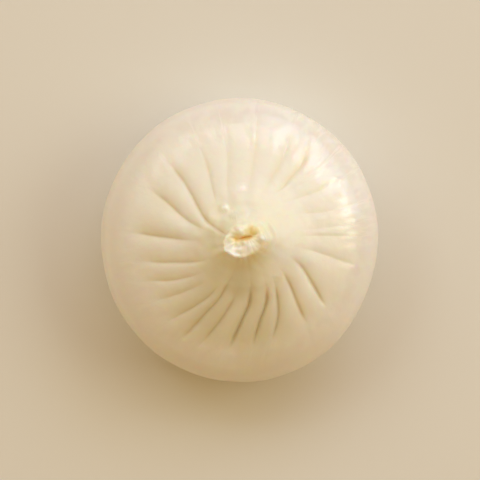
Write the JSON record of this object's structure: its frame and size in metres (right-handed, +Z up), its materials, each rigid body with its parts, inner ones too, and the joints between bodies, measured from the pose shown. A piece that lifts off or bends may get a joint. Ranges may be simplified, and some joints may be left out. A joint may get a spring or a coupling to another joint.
{
  "type": "soup dumpling",
  "caption": "Steamed soup dumpling: a round gathered bun of thin dough with fine swirled pleats rising to a small puckered knot, standing on a flat base.",
  "frame": {"origin": "centre of the dumpling's box at its flat base, where it stands", "axes": "+Z up through the knot; the slit in the knot runs roughly along X, rising towards +X and +Y"},
  "size_m": [0.0592, 0.0606, 0.033],
  "materials": {
    "dough": "satin"
  },
  "bodies": {
    "root": {"dumpling": "dough"}
  },
  "joints": []
}
